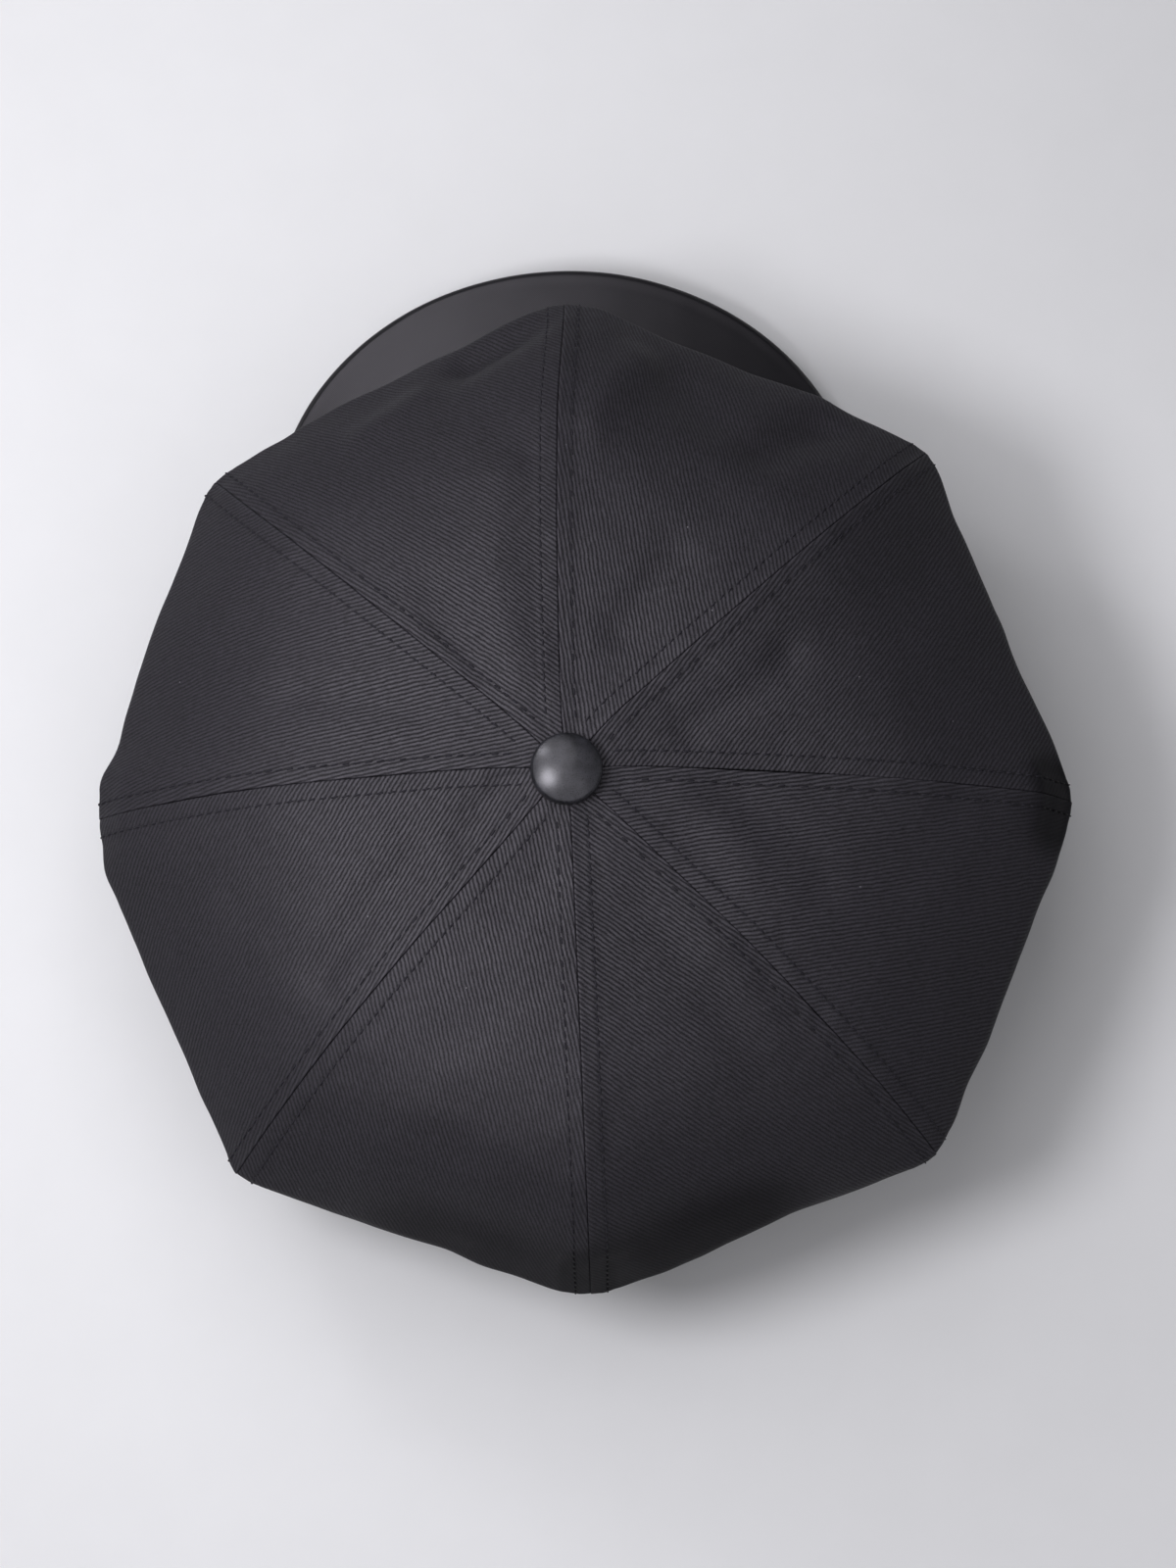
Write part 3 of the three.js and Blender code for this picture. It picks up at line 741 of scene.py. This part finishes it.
def stitch_row(path, normal, seed):
    """Points and faces of a row of stitches along a path that lies on the cloth."""
    chance = np.random.default_rng(seed)
    travelled = np.concatenate([[0], np.cumsum(np.linalg.norm(np.diff(path, axis=0), axis=1))])
    starts = np.arange(STITCH_PITCH * 0.5, travelled[-1] - STITCH_PITCH, STITCH_PITCH)
    sides, rings = 7, 7
    points, faces = [], []
    for start in starts:
        ends = [start + STITCH_PITCH * part + chance.uniform(-0.15, 0.15) for part in STITCH_SHOWN]
        at = np.linspace(*ends, rings)
        line = np.stack([np.interp(at, travelled, path[:, k]) for k in range(3)], -1)
        up = np.stack([np.interp(at, travelled, normal[:, k]) for k in range(3)], -1)
        up /= np.linalg.norm(up, axis=1, keepdims=True)
        ahead = np.gradient(line, axis=0)
        ahead /= np.linalg.norm(ahead, axis=1, keepdims=True)
        aside = np.cross(up, ahead)
        share = np.linspace(-1, 1, rings)
        arch = STITCH_ARCH - STITCH_SINK * share**4 + chance.uniform(-0.04, 0.04)
        lean = share * chance.uniform(0.10, 0.22)
        thick = THREAD_RADIUS * (1 - 0.45 * share**6)
        line = line + up * arch[:, None] + aside * lean[:, None]
        turns = np.linspace(0, 2 * math.pi, sides, endpoint=False)[None, :, None]
        circle = np.cos(turns) * aside[:, None] + np.sin(turns) * up[:, None]
        tube = line[:, None] + circle * thick[:, None, None]
        base = len(points) * sides * rings
        index = base + np.arange(rings * sides).reshape(rings, sides)
        beside = np.roll(index, -1, axis=1)
        quads = np.stack([index[:-1], beside[:-1], beside[1:], index[1:]], -1).reshape(-1, 4)
        faces += quads.tolist() + [index[0, ::-1].tolist(), index[-1].tolist()]
        points.append(tube.reshape(-1, 3))
    return np.concatenate(points), faces


def stitches(name, rows, material):
    """One piece that holds several rows of stitches."""
    points, faces = [], []
    for row_points, row_faces in rows:
        base = sum(len(p) for p in points)
        faces += [[base + corner for corner in face] for face in row_faces]
        points.append(row_points)
    piece = new_piece(name, np.concatenate(points), faces)
    piece.data.materials.append(material)
    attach(piece, "root")


THREAD_DARK = (0.010, 0.010, 0.0118, 1)
THREAD_LIGHT = (0.032, 0.0315, 0.037, 1)

# The right and the rear corner, in metres, where the thread is darkened with painted shade like the
# cloth.
PAINTED_SHADE_CORNERS = ((-0.1422, 0.0146), (0.0001, 0.1579))
THREAD_PAINTED_SHADE = (0.001, 0.001, 0.0012, 1)


def thread_finish():
    """Twisted black thread with a soft shine, darkened with painted shade at two corners."""
    material, thread = new_finish("black_thread")
    place = thread.place()
    fibre = thread.speckle(place, 0.0002, 2.0, 0.6)
    colour = fibre.blend(THREAD_DARK, THREAD_LIGHT)
    for corner_x, corner_y in PAINTED_SHADE_CORNERS:
        from_x, from_y = thread.axis(place, "X") - corner_x, thread.axis(place, "Y") - corner_y
        away = (from_x**2 + from_y**2) ** 0.5
        # Painted shade on the thread near those corners.
        colour = away.above(0.010, 0.014).blend(THREAD_PAINTED_SHADE, colour)
    values = {
        "Base Color": colour,
        "Roughness": 0.6,
        "Normal": fibre.bump(0.6, 0.00006),
        "Specular IOR Level": 0.15,
    }
    return fill_finish(material, values)


black_thread = thread_finish()


for seam in range(8):
    before, after = panels[seam - 1], panels[seam]
    rows = [
        stitch_row(*row_on_panel(before, from_first=False), seed=100 + seam),
        stitch_row(*row_on_panel(after, from_first=True), seed=200 + seam),
    ]
    stitches(f"topstitch_{SEAM_NAMES[seam]}", rows, black_thread)


# ---- Bill ----
# A long peak of pressed board covered in smooth black cloth, arched across so that its sides come
# near the table. The cover is turned in round the outer edge, which leaves a low lip there.

BILL_THICKNESS = 3.0
BILL_ROOT_END = 64
BILL_HALF_WIDTH = 90.8
BILL_TIP_LENGTH = 74.5
BILL_WIDEST_Y = -97.2
BILL_CENTRE_HEIGHT = 24
BILL_TIP_DROP = 4
BILL_SIDE_HEIGHT = 3.4
BILL_TIP_SHARE = 0.7

# The depth of its rounded edge, the lip and the dip behind it (height and distance from the edge),
# the width of both, and the groove where the two cloths meet.
BILL_EDGE = 1.5
BILL_LIP, BILL_LIP_AT = 0.08, 2.0
BILL_DIP, BILL_DIP_AT = 0.04, 4.6
BILL_LIP_WIDTH = 1.2
BILL_GROOVE = 0.18

BILL_RIB_PITCH = 0.62
# The valley colour is painted shade between the weave's ribs, and the ridge colour painted light on
# their tops.
BILL_SHADED_VALLEY = (0.003, 0.003, 0.0035, 1)
BILL_LIT_RIDGE = (0.013, 0.0128, 0.015, 1)


def head_point(angle, offset):
    """Places on the head's oval from above, or at an offset out from it. angle is in degrees."""
    turn = np.radians(angle)
    x = (HEAD_HALF_WIDTH + offset) * np.sin(turn)
    y = HEAD_Y - (HEAD_HALF_LENGTH + offset) * np.cos(turn)
    return np.stack([x, y], axis=-1)


bill_end = head_point(BILL_ROOT_END, BAND_WALL)


def bill_outline(share):
    """The bill's outline from one root end (-1) over the tip (0) to the other root end (1)."""
    side = np.where(share < 0, -1.0, 1.0)
    way = np.abs(share)
    turn = np.radians(90 * np.minimum(way / BILL_TIP_SHARE, 1))
    back = np.clip((way - BILL_TIP_SHARE) / (1 - BILL_TIP_SHARE), 0, 1)
    x = BILL_HALF_WIDTH * np.sin(turn) - (BILL_HALF_WIDTH - bill_end[0]) * back**2
    y = np.where(
        way <= BILL_TIP_SHARE,
        BILL_WIDEST_Y - BILL_TIP_LENGTH * np.cos(turn),
        mix(BILL_WIDEST_Y, bill_end[1], back),
    )
    return np.stack([side * x, y], axis=-1)


def bill_top(x, y):
    """The height of the bill's upper face."""
    back = np.clip((y - BILL_WIDEST_Y) / (bill_end[1] - BILL_WIDEST_Y), 0, 1)
    half_width = BILL_HALF_WIDTH - (BILL_HALF_WIDTH - bill_end[0]) * back**2
    forward = np.clip((BILL_WIDEST_Y - y) / BILL_TIP_LENGTH, 0, 1)
    centre = BILL_CENTRE_HEIGHT - BILL_TIP_DROP * forward**2
    return mix(centre, BILL_SIDE_HEIGHT, (x / half_width) ** 2)


def bill_piece():
    """Both faces and the rounded edge of the bill, as one closed skin."""
    share = np.linspace(-1, 1, 221)
    root = head_point(BILL_ROOT_END * share, 0)
    edge = bill_outline(share)
    width = np.linalg.norm(edge - root, axis=1)
    inset = np.minimum(BILL_EDGE, width * 0.4)
    sections = []
    out_steps = np.concatenate([np.linspace(0, 0.9, 22), np.linspace(0.9, 1, 13)[1:]])
    rounding = np.linspace(math.pi / 2, -math.pi / 2, 11)
    for side, outs in ((1, out_steps), (-1, out_steps[::-1])):
        flat = []
        for out in outs:
            place = root + (edge - root) * (out * (1 - inset / width))[:, None]
            to_edge = width * (1 - out) + inset * out
            lip = BILL_LIP * np.exp(-(((to_edge - BILL_LIP_AT) / BILL_LIP_WIDTH) ** 2))
            lip = lip - BILL_DIP * np.exp(-(((to_edge - BILL_DIP_AT) / BILL_LIP_WIDTH) ** 2))
            height = bill_top(place[:, 0], place[:, 1])
            height = height + lip if side > 0 else height - BILL_THICKNESS - lip
            flat.append(np.column_stack([place, height]))
        sections += flat
        if side > 0:
            middle = bill_top(edge[:, 0], edge[:, 1]) - BILL_THICKNESS / 2
            for turn in rounding[1:-1]:
                out = 1 - (inset / width) * (1 - math.cos(turn))
                place = root + (edge - root) * out[:, None]
                height = middle + BILL_THICKNESS / 2 * math.sin(turn)
                groove = BILL_GROOVE if abs(turn) < 0.2 else 0.0
                place = place - (edge - root) / width[:, None] * groove
                sections.append(np.column_stack([place, height]))
    grid = np.array(sections)
    rows, columns = grid.shape[:2]
    uneven = soft_waves(grid, seed=31, shortest=30, longest=80) * 0.25
    uneven = uneven + soft_waves(grid, seed=37, shortest=8, longest=18) * 0.04
    fade = smooth_step(0, 14, width)[None, :]
    grid[..., 2] += uneven * fade
    index = np.arange(rows * columns).reshape(rows, columns)
    below = np.roll(index, -1, axis=0)
    quads = np.stack([index[:, :-1], below[:, :-1], below[:, 1:], index[:, 1:]], -1).reshape(-1, 4)
    faces = quads.tolist() + [index[:, 0].tolist(), index[::-1, -1].tolist()]
    piece = new_piece("bill_cover", grid.reshape(-1, 3), faces)
    piece.data.set_sharp_from_angle(angle=math.radians(50))
    corners = np.concatenate([np.array(face) for face in faces])
    map_corners(piece.data, "weave", grid.reshape(-1, 3)[corners, :2])
    return piece


def bill_finish():
    """Smooth, closely woven black cotton, glued flat on the board, with painted light and shade on
    its ribs.
    """
    material, thread = new_finish("bill_cloth")
    place = thread.place()
    across, down = thread.map_place("weave")
    jitter = thread.speckle(place, 0.0015) - 0.5
    rib = ((across + down) / BILL_RIB_PITCH + jitter * 0.5).wave()
    fibre = thread.speckle(place, 0.00025, 3.0, 0.6)
    patches = thread.speckle(place, 0.02, 3.0, 0.6)
    shade = rib * 0.35 + fibre * 0.55 + (patches - 0.5) * 0.3 + 0.05
    values = {
        "Base Color": shade.above(0.0, 1.0).blend(BILL_SHADED_VALLEY, BILL_LIT_RIDGE),
        "Roughness": 0.26 + fibre * 0.22,
        "Normal": (rib * 0.5 + fibre * 0.6).bump(0.5, 0.0001),
        "Specular IOR Level": 0.5,
    }
    return fill_finish(material, values)


bill = bill_piece()
bill.data.materials.append(bill_finish())
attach(bill, "root")
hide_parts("bill")


# ---- Band ----
# A straight strip of the crown's twill, folded at its lower rim and sewn between the crown and the
# bill. It lies flat on the table at the sides and back, and climbs over the arched bill in front.

# How high it ends over the bill, the radius of its rims, how far the stitch rows lie from them and
# how deep they draw the cloth in.
OVER_BILL = 0.1
BAND_EDGE = 0.9
BAND_ROW_IN = 3.6
BAND_DRAWN_IN = 0.25
BAND_COLUMNS = 420


def band_piece():
    """The folded strip as a closed ring, drawn in where its stitch rows run, and its outer face."""
    angle = np.linspace(0, 360, BAND_COLUMNS, endpoint=False)
    signed = (angle + 180) % 360 - 180
    over_bill = 1 - smooth_step(BILL_ROOT_END + 0.5, BILL_ROOT_END + 3.0, np.abs(signed))
    heights = np.concatenate([[0, 0.02, 0.06], np.linspace(0.1, 0.9, 25), [0.94, 0.98, 1.0]])
    faces_out = []
    for offset in (BAND_WALL, 0.0):
        place = head_point(angle, offset)
        bottom = over_bill * (bill_top(place[:, 0], place[:, 1]) + OVER_BILL)
        top = band_top(place[:, 1])
        side = 1 if offset else -1
        grid = []
        for share in heights[::-1]:
            height = mix(bottom, top, share)
            to_rim = np.minimum(height - bottom, top - height)
            inset = BAND_EDGE * (1 - np.sqrt(1 - np.clip(1 - to_rim / BAND_EDGE, 0, 1) ** 2))
            if side > 0:
                inset = inset + BAND_DRAWN_IN * np.exp(-(((to_rim - BAND_ROW_IN) / 0.7) ** 2))
            inwards = head_point(angle, offset - side * inset)
            grid.append(np.column_stack([inwards, height]))
        faces_out.append(np.array(grid))
    outer, inner = faces_out
    bulge = soft_waves(outer, seed=41, shortest=18, longest=50) * 0.3
    bulge = bulge * np.sin(math.pi * heights[::-1])[:, None]
    turn = np.radians(angle)
    away = np.stack([np.sin(turn), -np.cos(turn)], axis=-1)
    outer[..., :2] += away[None] * bulge[..., None]
    middle_row = outer[len(heights) // 2]
    steps = np.linalg.norm(np.diff(middle_row, axis=0), axis=1)
    round_length = np.concatenate([[0], np.cumsum(steps)])
    weave = np.stack([np.broadcast_to(round_length, outer.shape[:2]), -outer[..., 2]], axis=-1)
    wear = np.zeros(outer.shape[:2])
    wear[-4:] = 0.5
    return cloth_mesh("band_strip", outer, inner, weave, {"wear": wear}, ring=True), outer


band, band_face = band_piece()
band.data.materials.append(twill_finish("band_twill", lean=-1.6, sewn=False))
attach(band, "root")
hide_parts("band")

band_rows = []
ring_path = np.concatenate([band_face, band_face[:, :1]], axis=1)
for from_top, seed in ((True, 301), (False, 302)):
    line = []
    for column in range(ring_path.shape[1]):
        heights = ring_path[::-1, column, 2]
        height = heights[-1] - BAND_ROW_IN if from_top else heights[0] + BAND_ROW_IN
        line.append([np.interp(height, heights, ring_path[::-1, column, k]) for k in range(3)])
    line = np.array(line)
    turn = np.arctan2(line[:, 0] / HEAD_HALF_WIDTH**2, -(line[:, 1] - HEAD_Y) / HEAD_HALF_LENGTH**2)
    away = np.stack([np.sin(turn), -np.cos(turn), np.zeros_like(turn)], axis=-1)
    band_rows.append(stitch_row(line, away, seed=seed))
stitches("topstitch_band", band_rows, black_thread)


# ---- Button ----
# A domed metal button covered in a tight, satiny dark grey cloth with a fine grain. Its shank goes
# through the cloth where the eight seams meet, and its rolled rim presses on the panels.

BUTTON_RADIUS = 10.25
BUTTON_TOP = APEX_HEIGHT + 5.8
BUTTON_CURVE = 19.5
BUTTON_SHOULDER = 1.6
BUTTON_BASE = APEX_HEIGHT - 0.7
BUTTON_RIM = 0.9
BUTTON_DARK = (0.003, 0.0033, 0.004, 1)
BUTTON_LIGHT = (0.026, 0.027, 0.031, 1)


def button_piece():
    """The dome, its rolled rim and its underside, turned round the axis."""
    profile = [(0.3, BUTTON_BASE + 1.0), (6, BUTTON_BASE + 0.5), (8.8, BUTTON_BASE)]
    for turn in np.radians(np.linspace(-80, -5, 9)):
        reach = BUTTON_RADIUS - BUTTON_RIM + BUTTON_RIM * math.cos(turn)
        profile.append((reach, BUTTON_BASE + BUTTON_RIM + BUTTON_RIM * math.sin(turn)))
    middle = BUTTON_RADIUS - BUTTON_SHOULDER
    tilt = math.asin(middle / (BUTTON_CURVE - BUTTON_SHOULDER))
    centre = BUTTON_TOP - BUTTON_CURVE + (BUTTON_CURVE - BUTTON_SHOULDER) * math.cos(tilt)
    for turn in np.linspace(0, math.pi / 2 - tilt, 16):
        reach = middle + BUTTON_SHOULDER * math.cos(turn)
        profile.append((reach, centre + BUTTON_SHOULDER * math.sin(turn)))
    for turn in np.linspace(tilt, 0.008, 24)[1:]:
        reach = BUTTON_CURVE * math.sin(turn)
        profile.append((reach, BUTTON_TOP - BUTTON_CURVE * (1 - math.cos(turn))))
    profile = np.array(profile)
    reach, height = profile[:, :1], profile[:, 1:]
    turns = np.linspace(0, 2 * math.pi, 128, endpoint=False)
    grid = np.stack([reach * np.sin(turns), -reach * np.cos(turns), height + 0 * turns], -1)
    rows, columns = grid.shape[:2]
    index = np.arange(rows * columns).reshape(rows, columns)
    beside = np.roll(index, -1, axis=1)
    quads = np.stack([index[:-1], beside[:-1], beside[1:], index[1:]], -1).reshape(-1, 4)
    faces = quads.tolist() + [index[0, ::-1].tolist(), index[-1].tolist()]
    return new_piece("button_dome", grid.reshape(-1, 3), faces)


def button_finish():
    """Satin cloth drawn tight: dark grey, with a grain of pinhead size and a soft shine."""
    material, thread = new_finish("button_satin")
    place = thread.place()
    grain = thread.speckle(place, 0.00035, 3.0, 0.6)
    patches = thread.speckle(place, 0.003, 2.0, 0.5)
    shade = grain * 0.6 + patches * 0.4
    values = {
        "Base Color": shade.above(0.35, 0.65).blend(BUTTON_DARK, BUTTON_LIGHT),
        "Roughness": 0.20 + grain * 0.22,
        "Normal": grain.bump(0.4, 0.00004),
        "Specular IOR Level": 0.6,
        "Specular Tint": (0.95, 0.98, 0.97, 1),
        "Coat Weight": 0.13,
        "Coat Roughness": 0.4,
        "Coat IOR": 2.0,
    }
    return fill_finish(material, values)


button = button_piece()
button.data.materials.append(button_finish())
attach(button, "root")
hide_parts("button")


# ---- Table, light and camera ----
# The cap stands upright on a plain pale table. Its main soft lamps hang over the front and left of
# the picture, and weaker ones open the shadows. The camera looks down from a little behind the cap.

TABLE_REACH = 6
TABLE_DARK = (0.80, 0.835, 0.79, 1)
TABLE_LIGHT = (0.83, 0.865, 0.82, 1)
table_corners = np.array([(-1, -1, 0), (1, -1, 0), (1, 1, 0), (-1, 1, 0)]) * TABLE_REACH
floor_mesh = bpy.data.meshes.new("table")
floor_mesh.from_pydata(table_corners.tolist(), [], [(0, 1, 2, 3)])
floor = bpy.data.objects.new("table", floor_mesh)
bpy.context.collection.objects.link(floor)
floor_finish, thread = new_finish("pale_table")
paper = thread.speckle(thread.place(), 0.02, 3.0, 0.5).blend(TABLE_DARK, TABLE_LIGHT)
floor.data.materials.append(fill_finish(floor_finish, {"Base Color": paper, "Roughness": 0.8}))


LAMP_COLOUR = (1.0, 0.955, 1.055)


def soft_lamp(name, place, aim, size, power):
    """A round soft lamp at a place in metres, turned towards aim. size is its width."""
    light = bpy.data.lights.new(name, "AREA")
    light.shape = "DISK"
    light.size = size
    light.energy = power
    light.color = LAMP_COLOUR
    lamp = bpy.data.objects.new(name, light)
    lamp.location = place
    lamp.rotation_mode = "QUATERNION"
    lamp.rotation_quaternion = (Vector(aim) - Vector(place)).to_track_quat("-Z", "Y")
    bpy.context.collection.objects.link(lamp)


soft_lamp("key_lamp", (0.33, 0.10, 0.62), (0, 0, 0.04), 0.26, 2.25)
soft_lamp("front_lamp", (0.20, -0.28, 0.61), (0, 0, 0.04), 0.80, 2.10)
soft_lamp("rear_lamp", (-0.02, 0.35, 0.61), (0, 0, 0.04), 0.80, 1.2)
soft_lamp("right_lamp", (-0.44, 0.0, 0.60), (-0.1, 0, 0.04), 1.00, 0.60)
soft_lamp("low_lamp", (0.36, -0.33, 0.44), (0, 0, 0.06), 0.12, 0.4)
for side_x, side_y in ((1, 0), (0, 1), (-1, 0), (0, -1)):
    # These turn their backs to the cap, and keep the far table pale.
    soft_lamp("table_lamp", (side_x, side_y, 1.2), (side_x * 2, side_y * 2, 0.5), 0.80, 11)

world = bpy.data.worlds.new("pale_room")
world.use_nodes = True
background = world.node_tree.nodes["Background"]
background.inputs["Color"].default_value = (0.93, 0.93, 1.0, 1)
background.inputs["Strength"].default_value = 0.02
bpy.context.scene.world = world
bpy.context.scene.view_settings.view_transform = "Standard"

# 80 degrees up, from behind the cap. The front is at the top of the picture.
CAMERA_DISTANCE = 1.4
camera = bpy.data.objects.new("camera", bpy.data.cameras.new("camera"))
camera.data.sensor_width = 36
camera.data.lens = 109.8
camera.data.clip_start, camera.data.clip_end = 0.05, 20
target = Vector((0.00009, 0.00952, 0.060))
back = Vector((0, 0.17365, 0.98481))
right = Vector((-1, 0, 0))
up = back.cross(right)
turned = Matrix((right, up, back)).transposed().to_4x4()
camera.matrix_world = Matrix.Translation(target + CAMERA_DISTANCE * back) @ turned
bpy.context.collection.objects.link(camera)
bpy.context.scene.camera = camera
